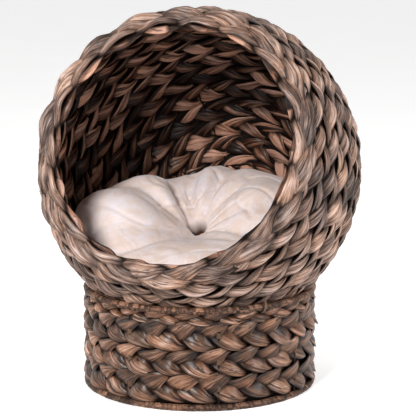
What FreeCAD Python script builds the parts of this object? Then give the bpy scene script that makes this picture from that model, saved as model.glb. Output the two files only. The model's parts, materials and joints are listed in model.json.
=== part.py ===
import FreeCAD, Part
import math
import os
from FreeCAD import Vector

# A raised wicker pet bed. A hollow ball of braided leaf, with a tilted round mouth, sits on the top rim of a
# braided drum stand, and a loose round cushion lies inside the ball. Lengths are in mm and angles in degrees.
# The origin is the centre of the stand on the floor, +Z is up and the mouth faces -Y.
# Azimuths turn about +Z from -Y towards +X.

# Stand
stand_height = 139.0            # floor to the top of the wrapped top rim
hoop_radius = 156.5             # centreline of both hoops and of the circle of uprights
hoop_wire_radius = 3.0
wrap_thickness = 1.7            # leaf strip wound round a hoop
foot_flat = 0.5                 # how far the bottom wrap is pressed flat on the floor
upright_count = 8
upright_wire_radius = 1.75
first_upright = -18.5           # azimuth of the first upright
stand_rows = 3                  # full braid rows, counted from the floor
top_row_height = 10.5           # the narrow row that is squeezed under the top rim
stand_braid_thickness = 17.0
stand_braid_inset = 4.8         # from the hoops' centreline inwards to the middle of the braids
rim_lashing_room = 2.9          # between the bottom rim and the first row
stand_row_crown = 2.5           # how far a row bulges between its edges
tie_radius = 4.2
tie_height = 9.0

# Ball
ball_radius = 221.0             # over the crowns of the braids
ball_wall = 18.0
ball_rows = 14                  # braid rows between the lip and the closing coil
ball_row_crown = 3.0
back_coil_radius = 41.5         # coil that closes the ball behind
mouth_elevation = 22.1          # of the mouth's axis above the level
mouth_half_angle = 54.2         # from the mouth's axis to the middle of the lip braid
lip_width = 29.0
lip_thickness = 17.0
lip_flare = 20.0                # how far the lip braid opens out from the line of the wall
lip_shoulder = 1.0              # from the middle of the lip to where the first row begins
rib_count = 8
first_rib = 22.5
rib_wire_radius = 1.75
ball_hoop_wire_radius = 2.5

# Lashings that tie the ball to the stand's top rim
lashing_count = 4
lashing_twine_radius = 1.2

# Cushion
cushion_tilt = 17.0             # its back lies higher than its front
cushion_height = 125.0          # underside to crest, measured on its own axis
cushion_floor_gap = 23.0        # room under the middle of the cushion
cushion_side_gap = 12.5         # between the widest part of the cushion and the ball
cushion_mouth_clearance = 4.0   # the cushion has this much room all round in the mouth
crest_radius = 100.0
crest_dimple = 35.0             # depth of the tufted middle below the crest
edge_roll = 14.0                # how far the underside starts inside the widest part
cover_thickness = 3.0
tuft_thread_radius = 1.2
tuft_knot_radius = 5.0
tuft_knot_height = 3.0

# Clearances
piece_gap = 0.4                 # between neighbouring braids, and round what they hold
weld_gap = 0.05                 # between wires that are welded end to side
ball_seat_gap = 0.4             # between the ball and the top rim
thread_gap = 0.4

# Sizes that follow from the ones above
origin = Vector(0, 0, 0)
up = Vector(0, 0, 1)
wrapped_hoop_radius = hoop_wire_radius + wrap_thickness
bottom_hoop_z = wrapped_hoop_radius - foot_flat
top_hoop_z = stand_height - wrapped_hoop_radius
stand_braid_radius = hoop_radius - stand_braid_inset
rows_bottom_z = bottom_hoop_z + wrapped_hoop_radius + rim_lashing_room
rows_top_z = top_hoop_z - wrapped_hoop_radius - piece_gap
stand_row_height = (rows_top_z - top_row_height - rows_bottom_z) / stand_rows

wall_middle = ball_radius - ball_wall / 2
wall_inside = ball_radius - ball_wall
seat_distance = ball_radius + wrapped_hoop_radius + ball_seat_gap
ball_centre_z = top_hoop_z + math.sqrt(seat_distance ** 2 - hoop_radius ** 2)
first_row_angle = mouth_half_angle + lip_shoulder
back_coil_angle = 180 - math.degrees(math.asin(back_coil_radius / wall_middle))
row_angle = (back_coil_angle - first_row_angle) / ball_rows
back_hoop_angle = back_coil_angle - row_angle / 2
seam_angle = math.degrees(piece_gap / 2 / wall_middle)


def polar_point(radius, angle):
    # a point of the half-plane y = 0, at an angle from +Z
    angle = math.radians(angle)
    return Vector(radius * math.sin(angle), 0, radius * math.cos(angle))


def closed_face(*curves):
    return Part.Face(Part.Wire([curve.toShape() for curve in curves]))


def ring(face):
    return face.revolve(origin, up, 360)


def hoop(radius, wire_radius, height):
    return Part.makeTorus(radius, wire_radius, Vector(0, 0, height), up)


def turned(shape, azimuth):
    copy = shape.copy()
    copy.rotate(origin, up, azimuth)
    return copy


def azimuths(count, first):
    return [first + 360 / count * number for number in range(count)]


def export(name, shape):
    if not shape.isValid():
        raise ValueError(name + " is not a valid shape")
    shape.exportStep("parts/" + name + ".step")
    print(name, len(shape.Solids), "solids", round(shape.Volume / 1000, 1), "cm3")


# ---- stand ----

def on_upright_circle(shape):
    # copies of a shape that is drawn on the stand's axis, one at each upright
    copies = []
    for azimuth in azimuths(upright_count, first_upright):
        copy = shape.copy()
        copy.translate(Vector(0, -hoop_radius, 0))
        copies.append(turned(copy, azimuth))
    return copies


def upright_tubes(radius, bottom_z, top_z):
    return on_upright_circle(Part.makeCylinder(radius, top_z - bottom_z, Vector(0, 0, bottom_z)))


def hoop_wrap(height):
    wrap = hoop(hoop_radius, wrapped_hoop_radius, height)
    channel = hoop(hoop_radius, hoop_wire_radius + weld_gap, height)
    passages = upright_tubes(upright_wire_radius + piece_gap, bottom_hoop_z, top_hoop_z)
    return wrap.cut([channel] + passages)


def foot_cut():
    # the half space under the floor, as a block around the bottom wrap
    width = 4 * hoop_radius
    return Part.makeBox(width, width, 2 * wrapped_hoop_radius, Vector(-width / 2, -width / 2, -2 * wrapped_hoop_radius))


def tie_levels():
    return [rows_bottom_z + stand_row_height * (number + 1) for number in range(stand_rows)]


def stand_row(bottom_z, top_z):
    bottom_z = bottom_z + piece_gap / 2
    top_z = top_z - piece_gap / 2
    middle_z = (bottom_z + top_z) / 2
    crown = stand_braid_thickness / 2
    edge = crown - stand_row_crown
    outer_low = Vector(stand_braid_radius + edge, 0, bottom_z)
    outer_high = Vector(stand_braid_radius + edge, 0, top_z)
    inner_low = Vector(stand_braid_radius - edge, 0, bottom_z)
    inner_high = Vector(stand_braid_radius - edge, 0, top_z)
    section = closed_face(
        Part.Arc(outer_low, Vector(stand_braid_radius + crown, 0, middle_z), outer_high),
        Part.LineSegment(outer_high, inner_high),
        Part.Arc(inner_high, Vector(stand_braid_radius - crown, 0, middle_z), inner_low),
        Part.LineSegment(inner_low, outer_low))
    passages = upright_tubes(upright_wire_radius + piece_gap, bottom_hoop_z, top_hoop_z)
    pocket_height = tie_height + 2 * piece_gap
    for level in tie_levels():
        if bottom_z - tie_height < level < top_z + tie_height:
            passages += upright_tubes(tie_radius + piece_gap, level - pocket_height / 2, level + pocket_height / 2)
    return ring(section).cut(passages)


def stand_ties():
    ties = []
    for level in tie_levels():
        tie = Part.makeCylinder(tie_radius, tie_height, Vector(0, 0, level - tie_height / 2))
        bore = Part.makeCylinder(upright_wire_radius + weld_gap, tie_height, Vector(0, 0, level - tie_height / 2))
        ties += on_upright_circle(tie.cut(bore))
    return Part.makeCompound(ties)


# ---- ball, drawn with its centre at the origin and its mouth facing +Z ----

ball_place = FreeCAD.Placement(Vector(0, 0, ball_centre_z), FreeCAD.Rotation(Vector(1, 0, 0), 90 - mouth_elevation))


def in_ball(shape):
    placed = shape.copy()
    placed.Placement = ball_place.multiply(placed.Placement)
    return placed


def wall_section(first_angle, last_angle):
    first_angle = first_angle + seam_angle
    last_angle = last_angle - seam_angle
    middle_angle = (first_angle + last_angle) / 2
    outer_edge = ball_radius - ball_row_crown
    inner_edge = wall_inside + ball_row_crown
    outer_first = polar_point(outer_edge, first_angle)
    outer_last = polar_point(outer_edge, last_angle)
    inner_first = polar_point(inner_edge, first_angle)
    inner_last = polar_point(inner_edge, last_angle)
    return closed_face(
        Part.Arc(outer_first, polar_point(ball_radius, middle_angle), outer_last),
        Part.LineSegment(outer_last, inner_last),
        Part.Arc(inner_last, polar_point(wall_inside, middle_angle), inner_first),
        Part.LineSegment(inner_first, outer_first))


def lip_section(growth):
    # an oval that stands up from the wall like a low collar
    centre = polar_point(wall_middle, mouth_half_angle)
    lean = math.radians(90 - mouth_half_angle - lip_flare)
    along = Vector(-math.sin(lean), 0, math.cos(lean))
    across = Vector(-math.cos(lean), 0, -math.sin(lean))
    oval = Part.Ellipse(centre + along * (lip_width / 2 + growth), centre + across * (lip_thickness / 2 + growth), centre)
    return closed_face(oval)


def rib_arcs(radius, first_angle, last_angle):
    disc = closed_face(Part.Circle(Vector(0, 0, wall_middle), Vector(1, 0, 0), radius))
    disc.rotate(origin, Vector(0, 1, 0), first_angle)
    arc = disc.revolve(origin, Vector(0, 1, 0), last_angle - first_angle)
    return [turned(arc, azimuth) for azimuth in azimuths(rib_count, first_rib)]


def ball_hoop(wire_radius, angle):
    centre = polar_point(wall_middle, angle)
    return hoop(centre.x, wire_radius, centre.z)


def lashing_rings(twine_radius):
    # each ring goes round the top rim and through the ball's wall, about the point where they meet
    reach = math.asin(hoop_radius / seat_distance)
    meeting = Vector(0, -ball_radius * math.sin(reach), ball_centre_z - ball_radius * math.cos(reach))
    ring_radius = 2 * wrapped_hoop_radius + ball_seat_gap + piece_gap + lashing_twine_radius
    loop = Part.makeTorus(ring_radius, twine_radius, meeting, Vector(1, 0, 0))
    # between two uprights, and well to the sides of the mouth so that no lashing meets the lip
    first_lashing = first_upright + 180 / upright_count + 180 / lashing_count
    return [turned(loop, azimuth) for azimuth in azimuths(lashing_count, first_lashing)]


def back_coil():
    first_angle = back_coil_angle + seam_angle
    middle_angle = (first_angle + 180) / 2
    outside = ball_radius - ball_row_crown
    inside = wall_inside + ball_row_crown
    section = closed_face(
        Part.Arc(polar_point(outside, first_angle), polar_point(outside, middle_angle), Vector(0, 0, -outside)),
        Part.LineSegment(Vector(0, 0, -outside), Vector(0, 0, -inside)),
        Part.Arc(Vector(0, 0, -inside), polar_point(inside, middle_angle), polar_point(inside, first_angle)),
        Part.LineSegment(polar_point(inside, first_angle), polar_point(outside, first_angle)))
    return ring(section)


# ---- cushion, drawn with the ball's centre at the origin and its own axis along +Z ----

cushion_place = FreeCAD.Placement(Vector(0, 0, ball_centre_z), FreeCAD.Rotation(Vector(1, 0, 0), cushion_tilt))


def mouth_radius():
    # the clear radius inside the lip braid
    lean = math.radians(90 - mouth_half_angle - lip_flare)
    reach = math.hypot(lip_width / 2 * math.sin(lean), lip_thickness / 2 * math.cos(lean))
    return polar_point(wall_middle, mouth_half_angle).x - reach


cushion_radius = mouth_radius() - cushion_mouth_clearance
underside_z = -(wall_inside - cushion_floor_gap)
crest_z = underside_z + cushion_height


def cushion_body(inset):
    # the cushion's round form, drawn smaller all over by the inset
    widest = Vector(cushion_radius - inset, 0, -math.sqrt((wall_inside - cushion_side_gap) ** 2 - cushion_radius ** 2))
    crest = Vector(crest_radius, 0, crest_z - inset)
    dimple = Vector(0, 0, crest_z - crest_dimple - inset)
    dimple_side = (crest + dimple) / 2 + Vector(0, 0, crest_dimple / 8)
    shoulder = crest + Vector((widest.x - crest.x) * 0.76, 0, (widest.z - crest.z) * 0.36)
    roll_x = cushion_radius - edge_roll
    roll = Vector(roll_x - inset, 0, -math.sqrt((wall_inside - cushion_side_gap / 2) ** 2 - roll_x ** 2) + inset)
    roll_side = (widest + roll) / 2 + Vector(edge_roll / 8, 0, -edge_roll / 8)
    underside = Vector(0, 0, underside_z + inset)
    drop = roll.z - underside.z
    sweep = (roll.x ** 2 + drop ** 2) / (2 * drop)
    half_turn = math.asin(roll.x / sweep) / 2
    belly = Vector(sweep * math.sin(half_turn), 0, underside.z + sweep - sweep * math.cos(half_turn))
    return ring(closed_face(
        Part.Arc(dimple, dimple_side, crest),
        Part.Arc(crest, shoulder, widest),
        Part.Arc(widest, roll_side, roll),
        Part.Arc(roll, belly, underside),
        Part.LineSegment(underside, dimple)))


def tuft_thread(radius):
    low = underside_z - tuft_knot_height
    return Part.makeCylinder(radius, crest_z - crest_dimple + tuft_knot_height - low, Vector(0, 0, low))


def tuft_stitch():
    top_knot_z = crest_z - crest_dimple + tuft_knot_height
    top_knot = Part.makeCylinder(tuft_knot_radius, tuft_knot_height, Vector(0, 0, top_knot_z))
    low_knot_z = underside_z - thread_gap - tuft_knot_height
    low_knot = Part.makeCylinder(tuft_knot_radius, tuft_knot_height, Vector(0, 0, low_knot_z))
    return tuft_thread(tuft_thread_radius).fuse([top_knot, low_knot]).removeSplitter()


def in_cushion(shape):
    placed = shape.copy()
    placed.Placement = cushion_place.multiply(placed.Placement)
    return placed


# ---- every piece ----

os.makedirs("parts", exist_ok=True)

export("stand_bottom_hoop", hoop(hoop_radius, hoop_wire_radius, bottom_hoop_z))
export("stand_top_hoop", hoop(hoop_radius, hoop_wire_radius, top_hoop_z))
upright_reach = hoop_wire_radius + weld_gap
export("stand_uprights", Part.makeCompound(
    upright_tubes(upright_wire_radius, bottom_hoop_z + upright_reach, top_hoop_z - upright_reach)))
export("stand_bottom_wrap", hoop_wrap(bottom_hoop_z).cut(foot_cut()))
export("stand_ties", stand_ties())

lashing_pockets = lashing_rings(lashing_twine_radius + piece_gap)
export("stand_top_wrap", hoop_wrap(top_hoop_z))
export("ball_to_stand_lashings", Part.makeCompound(lashing_rings(lashing_twine_radius)))

ball_seat = Part.makeSphere(ball_radius + ball_seat_gap, Vector(0, 0, ball_centre_z))
for number in range(stand_rows):
    row_bottom_z = rows_bottom_z + stand_row_height * number
    export("stand_braid_%d" % (number + 1), stand_row(row_bottom_z, row_bottom_z + stand_row_height).cut(ball_seat))
top_row = stand_row(rows_top_z - top_row_height, rows_top_z)
export("stand_top_braid", top_row.cut([ball_seat] + lashing_pockets))

rib_end_gap = math.degrees((ball_hoop_wire_radius + weld_gap) / wall_middle)
rib_channels = rib_arcs(rib_wire_radius + piece_gap, mouth_half_angle, back_hoop_angle)
export("ball_mouth_hoop", in_ball(ball_hoop(ball_hoop_wire_radius, mouth_half_angle)))
export("ball_back_hoop", in_ball(ball_hoop(ball_hoop_wire_radius, back_hoop_angle)))
export("ball_ribs", in_ball(Part.makeCompound(
    rib_arcs(rib_wire_radius, mouth_half_angle + rib_end_gap, back_hoop_angle - rib_end_gap))))
mouth_hoop_channel = ball_hoop(ball_hoop_wire_radius + piece_gap, mouth_half_angle)
back_hoop_channel = ball_hoop(ball_hoop_wire_radius + piece_gap, back_hoop_angle)
export("ball_lip_braid", in_ball(ring(lip_section(0)).cut([mouth_hoop_channel] + rib_channels)))
for number in range(ball_rows):
    row_start = first_row_angle + row_angle * number
    section = wall_section(row_start, row_start + row_angle)
    channels = list(rib_channels)
    if number == 0:
        section = section.cut(lip_section(piece_gap)).Faces[0]
    if number == ball_rows - 1:
        channels.append(back_hoop_channel)
    row = in_ball(ring(section).cut(channels))
    export("ball_braid_%02d" % (number + 1), row.cut(lashing_pockets))
export("ball_back_coil", in_ball(back_coil()).cut(lashing_pockets))

thread_passage = tuft_thread(tuft_thread_radius + thread_gap)
cover = cushion_body(0).cut([cushion_body(cover_thickness), thread_passage])
filling = cushion_body(cover_thickness + piece_gap).cut(thread_passage)
export("cushion_cover", in_cushion(cover))
export("cushion_filling", in_cushion(filling))
export("cushion_tuft_stitch", in_cushion(tuft_stitch()))

print("ball centre height", round(ball_centre_z, 2), "cushion radius", round(cushion_radius, 2))
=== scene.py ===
import bpy
import bmesh
import json
import math
import random
from mathutils import Matrix, Vector, noise

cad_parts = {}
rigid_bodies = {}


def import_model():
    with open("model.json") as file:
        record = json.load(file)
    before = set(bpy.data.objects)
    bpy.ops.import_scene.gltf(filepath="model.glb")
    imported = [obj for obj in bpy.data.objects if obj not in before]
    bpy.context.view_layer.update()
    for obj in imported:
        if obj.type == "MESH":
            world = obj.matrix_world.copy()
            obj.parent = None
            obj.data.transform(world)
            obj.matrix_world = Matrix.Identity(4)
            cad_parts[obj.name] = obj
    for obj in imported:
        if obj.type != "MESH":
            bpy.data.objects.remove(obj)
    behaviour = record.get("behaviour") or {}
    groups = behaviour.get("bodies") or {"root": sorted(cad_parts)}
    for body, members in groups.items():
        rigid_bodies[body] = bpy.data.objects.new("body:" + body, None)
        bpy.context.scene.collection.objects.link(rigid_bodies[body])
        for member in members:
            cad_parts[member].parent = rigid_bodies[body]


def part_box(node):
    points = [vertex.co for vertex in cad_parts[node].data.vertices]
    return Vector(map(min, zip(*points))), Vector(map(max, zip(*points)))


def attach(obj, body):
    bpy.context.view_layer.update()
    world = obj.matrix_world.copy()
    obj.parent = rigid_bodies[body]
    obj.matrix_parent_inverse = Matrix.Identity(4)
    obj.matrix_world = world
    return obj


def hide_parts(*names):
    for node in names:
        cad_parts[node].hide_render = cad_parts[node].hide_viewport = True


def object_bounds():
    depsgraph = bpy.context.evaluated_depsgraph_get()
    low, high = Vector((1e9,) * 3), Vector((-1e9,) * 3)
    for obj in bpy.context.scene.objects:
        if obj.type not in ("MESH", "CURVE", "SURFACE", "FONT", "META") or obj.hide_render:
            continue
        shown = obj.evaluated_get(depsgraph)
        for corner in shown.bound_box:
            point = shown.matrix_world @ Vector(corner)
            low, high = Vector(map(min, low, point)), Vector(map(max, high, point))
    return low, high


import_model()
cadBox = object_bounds()
scene = bpy.context.scene
scene.view_settings.view_transform = "Standard"


class NodeValue:  # a socket that Python sums can be written with
    def __init__(self, tree, socket):
        self.tree = tree
        self.socket = socket

    def maths(self, operation, *others):
        node = self.tree.nodes.new("ShaderNodeMath")
        node.operation = operation
        for position, value in enumerate((self,) + others):
            if isinstance(value, NodeValue):
                self.tree.links.new(value.socket, node.inputs[position])
            else:
                node.inputs[position].default_value = value
        return NodeValue(self.tree, node.outputs[0])

    def __add__(self, other):
        return self.maths("ADD", other)

    def __sub__(self, other):
        return self.maths("SUBTRACT", other)

    def __rsub__(self, other):
        return self.maths("MULTIPLY", -1.0) + other

    def __mul__(self, other):
        return self.maths("MULTIPLY", other)

    def __truediv__(self, other):
        return self.maths("DIVIDE", other)

    def __rtruediv__(self, other):
        return self.maths("POWER", -1.0) * other

    __radd__ = __add__
    __rmul__ = __mul__

    def sine(self):
        return self.maths("SINE")

    def cosine(self):
        return self.maths("COSINE")

    def floor(self):
        return self.maths("FLOOR")

    def absolute(self):
        return self.maths("ABSOLUTE")

    def power(self, exponent):
        return self.maths("POWER", exponent)

    def above(self, limit):
        return self.maths("GREATER_THAN", limit)

    def clamped(self):
        return self.maths("MINIMUM", 1.0).maths("MAXIMUM", 0.0)


class TreeMaker:  # one way to add any node: its type, its settings, then its sockets
    def __init__(self, tree):
        self.tree = tree
        tree.nodes.clear()

    def node(self, kind, settings=None, sockets=None):
        made = self.tree.nodes.new(kind)
        for name, value in (settings or {}).items():
            if name == "stops":
                self.setStops(made.color_ramp, value)
            else:
                setattr(made, name, value)
        for name, value in (sockets or {}).items():
            if isinstance(value, NodeValue):
                self.tree.links.new(value.socket, made.inputs[name])
            elif isinstance(value, bpy.types.NodeSocket):
                self.tree.links.new(value, made.inputs[name])
            else:
                made.inputs[name].default_value = value
        return made

    def setStops(self, ramp, stops):
        while len(ramp.elements) < len(stops):
            ramp.elements.new(0.5)
        for element, (place, colour) in zip(ramp.elements, stops):
            element.position = place
            element.color = colour

    def value(self, socket):
        return NodeValue(self.tree, socket)

    def vector(self, x, y, z):
        return self.node("ShaderNodeCombineXYZ", {}, {"X": x, "Y": y, "Z": z}).outputs[0]

    def split(self, socket):
        parts = self.node("ShaderNodeSeparateXYZ", {}, {"Vector": socket})
        return [self.value(part) for part in parts.outputs]


def geometryTree(name, inputs):
    tree = bpy.data.node_groups.new(name, "GeometryNodeTree")
    maker = TreeMaker(tree)
    for label, kind in inputs.items():
        tree.interface.new_socket(label, in_out="INPUT", socket_type="NodeSocket" + kind)
    tree.interface.new_socket("Geometry", in_out="OUTPUT", socket_type="NodeSocketGeometry")
    entry = maker.node("NodeGroupInput")
    given = {label: maker.value(entry.outputs[label]) for label in inputs}
    return maker, given


def finishTree(maker, geometry, material):
    # every tree that makes a piece ends this way
    plain = maker.node("GeometryNodeRealizeInstances", {}, {"Geometry": geometry})
    coloured = maker.node("GeometryNodeSetMaterial", {}, {"Geometry": plain.outputs[0], "Material": material})
    maker.node("NodeGroupOutput", {}, {"Geometry": coloured.outputs[0]})


def applyModifiers(piece):
    # leaves the piece with the mesh that its modifiers made
    seen = piece.evaluated_get(bpy.context.evaluated_depsgraph_get())
    mesh = bpy.data.meshes.new_from_object(seen)
    piece.modifiers.clear()
    piece.data = mesh


def meshFromTree(name, tree, values):
    # runs a tree once and keeps the plain mesh that it makes
    piece = bpy.data.objects.new(name, bpy.data.meshes.new(name))
    scene.collection.objects.link(piece)
    modifier = piece.modifiers.new("shape", "NODES")
    modifier.node_group = tree
    for item in tree.interface.items_tree:
        if item.in_out == "INPUT":
            modifier[item.identifier] = values[item.name]
    applyModifiers(piece)
    piece.data.name = name
    return piece


def ringOf(node):
    low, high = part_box(node)
    return (high[0] - low[0]) / 2, (low[2] + high[2]) / 2  # outer radius and middle height


ballRadius = (cadBox[1][0] - cadBox[0][0]) / 2
ball = {
    "centre": cadBox[1][2] - ballRadius,
    "wall": 0.018,
    "rows": 14,
    "mouthElevation": math.radians(22.1),
    "lipAngle": math.radians(54.2),
    "lipFaces": math.radians(29.0),  # way the flat of the lip braid faces, from the mouth's axis
    "firstRow": math.radians(55.2),
    "coilRadius": 0.0415,
    "proud": 0.0018,  # how far the leaves' middle stands outside the wall's
}
ball["middle"] = ballRadius - ball["wall"] / 2 + ball["proud"]
ball["coilAngle"] = math.pi - math.asin(ball["coilRadius"] / ball["middle"])
ball["rowAngle"] = (ball["coilAngle"] - ball["firstRow"]) / ball["rows"]
ballTilt = math.pi / 2 - ball["mouthElevation"]


def rgb(red, green, blue):
    return tuple((part / 255) ** 2.2 for part in (red, green, blue)) + (1.0,)


def newMaterial(name):
    material = bpy.data.materials.new(name)
    material.use_nodes = True
    maker = TreeMaker(material.node_tree)
    shader = maker.node("ShaderNodeBsdfPrincipled")
    maker.node("ShaderNodeOutputMaterial", {}, {"Surface": shader.outputs[0]})
    return material, maker, shader


def attribute(maker, name):
    return maker.value(maker.node("ShaderNodeAttribute", {"attribute_name": name}).outputs["Fac"])


def noiseOn(maker, vector, scale, detail=3.0, roughness=0.55):
    made = maker.node("ShaderNodeTexNoise", {}, {
        "Vector": vector, "Scale": scale, "Detail": detail, "Roughness": roughness})
    return maker.value(made.outputs["Fac"])


def blendColours(maker, amount, first, second, mode="MIX"):
    made = maker.node("ShaderNodeMix", {"data_type": "RGBA", "blend_type": mode}, {
        0: amount, 6: first, 7: second})
    return made.outputs[2]


def leafMaterial(name, look):
    material, maker, shader = newMaterial(name)
    along, across = maker.split(maker.node("ShaderNodeUVMap", {"uv_map": "leafMap"}).outputs[0])[:2]
    place = maker.node("ShaderNodeTexCoord").outputs["Object"]
    tone = attribute(maker, "leafTone")
    rise = attribute(maker, "leafRise")
    edge = attribute(maker, "leafEdge")
    fibres = noiseOn(maker, maker.vector(along * 14.0, across * look["fibres"], tone * 9.0), 1.0, 5.0, 0.7)
    veins = noiseOn(maker, maker.vector(along * 26.0, across * look["fibres"] * 2.6, tone * 13.0), 1.0, 2.0, 0.5)
    bands = noiseOn(maker, maker.vector(along * 34.0, across * 5.0, tone * 31.0), 1.0, 3.0, 0.6)
    blots = noiseOn(maker, maker.vector(along * 42.0, across * 7.0, tone * 57.0 + 4.0), 1.0, 3.0, 0.6)
    patches = noiseOn(maker, place, 24.0, 3.0)
    shade = tone * 0.46 + (fibres - 0.5) * 1.5 + (bands - 0.5) * 1.1 + (patches - 0.5) * 0.5 + look["light"]
    # painted shade: the middle term darkens a leaf where it dips towards the braid's middle, the last term
    # darkens each leaf's edges
    shade = shade + (veins - 0.5) * 0.9 + (rise.absolute() - 0.55) * 0.30 - edge.power(8.0) * 0.55
    cracks = ((veins - 0.60) * 7.0).clamped()
    # innerSide marks the inner half of the braid, facing into the ball or drum: there the leaves get stronger
    # random tone contrast, and below they are multiplied darker as painted shade
    innerSide = (rise * -3.0).clamped()
    shade = shade - cracks * look["cracks"] + innerSide * ((tone - 0.5) * 1.3 + 0.02)
    colours = maker.node("ShaderNodeValToRGB", {"stops": look["colours"]}, {"Fac": shade.clamped()})
    warmth = ((patches - 0.5) * 2.4 + (tone - 0.5) * 0.9 + 0.4).clamped()
    tinted = blendColours(maker, warmth, look["grey"], look["brown"])
    washed = blendColours(maker, 1.0, colours.outputs["Color"], tinted, "MULTIPLY")
    blotted = blendColours(maker, ((blots - 0.58) * 12.0).clamped() * look["blots"], washed, look["blot"])
    # painted shade: where a leaf dips towards the braid's middle its colour turns to the near-black gap colour;
    # the same mask also sets the coat weight
    gaps = (rise.absolute() / look["gapReach"]).clamped().power(1.3)
    deep = blendColours(maker, gaps, look["gap"], blotted)
    # painted shade: the inner side of the wall is multiplied by the inside colour
    inside = innerSide * look["insideDark"]
    shaded = blendColours(maker, inside, deep, look["insideTint"], "MULTIPLY")
    maker.tree.links.new(shaded, shader.inputs["Base Color"])
    rough = 0.66 - fibres * 0.30
    maker.tree.links.new(rough.socket, shader.inputs["Roughness"])
    crown = gaps * look["gloss"]
    maker.tree.links.new(crown.socket, shader.inputs["Coat Weight"])
    shader.inputs["Coat Roughness"].default_value = look["coatRoughness"]
    shader.inputs["Specular IOR Level"].default_value = 0.08
    relief = fibres * 0.55 + veins * 0.35 + bands * 0.3
    bump = maker.node("ShaderNodeBump", {}, {"Strength": 0.95, "Distance": 0.0020, "Height": relief})
    maker.tree.links.new(bump.outputs[0], shader.inputs["Normal"])
    return material


ballLeaf = leafMaterial("ballLeaf", {
    "fibres": 16.0,
    "gloss": 0.30,
    "cracks": 0.34,
    "coatRoughness": 0.34,
    "light": 0.20,
    "blots": 0.75,
    "gapReach": 0.36,
    "blot": rgb(34, 26, 27),
    "insideDark": 1.0,
    "insideTint": rgb(240, 214, 198),
    "gap": rgb(20, 12, 8),
    "grey": rgb(226, 228, 238),
    "brown": rgb(255, 232, 216),
    "colours": [
        (0.0, rgb(34, 23, 18)), (0.30, rgb(90, 71, 60)), (0.58, rgb(144, 121, 106)), (0.95, rgb(202, 186, 178))],
})
standLeaf = leafMaterial("standLeaf", {
    "fibres": 16.0,
    "gloss": 0.42,
    "cracks": 0.30,
    "coatRoughness": 0.33,
    "light": 0.03,
    "blots": 0.9,
    "gapReach": 0.44,
    "blot": rgb(28, 19, 17),
    "insideDark": 1.0,
    "insideTint": rgb(150, 128, 118),
    "gap": rgb(14, 8, 5),
    "grey": rgb(228, 226, 232),
    "brown": rgb(255, 228, 208),
    "colours": [
        (0.0, rgb(32, 20, 14)), (0.30, rgb(88, 64, 48)), (0.58, rgb(136, 108, 90)), (0.95, rgb(204, 184, 172))],
})
stripLeaf = leafMaterial("stripLeaf", {
    "fibres": 8.0,
    "gloss": 0.20,
    "cracks": 0.30,
    "coatRoughness": 0.40,
    "light": 0.05,
    "blots": 0.9,
    "gapReach": 0.5,
    "blot": rgb(40, 32, 30),
    "insideDark": 0.0,
    "insideTint": rgb(150, 128, 118),
    "gap": rgb(26, 15, 9),
    "grey": rgb(226, 222, 222),
    "brown": rgb(255, 230, 212),
    "colours": [
        (0.0, rgb(34, 23, 18)), (0.30, rgb(82, 62, 51)), (0.60, rgb(132, 106, 90)), (0.95, rgb(190, 162, 140))],
})
print("materials made")


braidInputs = {
    "ringRadius": "Float", "ringHeight": "Float", "facing": "Float", "spread": "Float", "rise": "Float",
    "leafWidth": "Float", "leafThickness": "Float", "point": "Float", "layering": "Float", "core": "Float",
    "crossings": "Int", "along": "Int", "around": "Int", "seed": "Float"}

leafShape = {
    "start": 0.75,  # of half a swing, where the first strand sets out
    "swell": 1.1,  # how much the width of a strand wanders
    "slip": 0.95,  # how far its folds slide across it
    "foldWidth": 0.30,
    "tipLength": 2.6,  # higher is a shorter tip
    "thinFold": 0.52,  # thickness of the two outer folds
    "middleFold": 0.26,  # and what the middle one has on top
    "cup": 0.30,
    "roll": 0.40,
    "swing": 0.94,
    "swingReach": 1.2226,  # arcsine of the swing
    "shear": 0.8,
}


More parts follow.
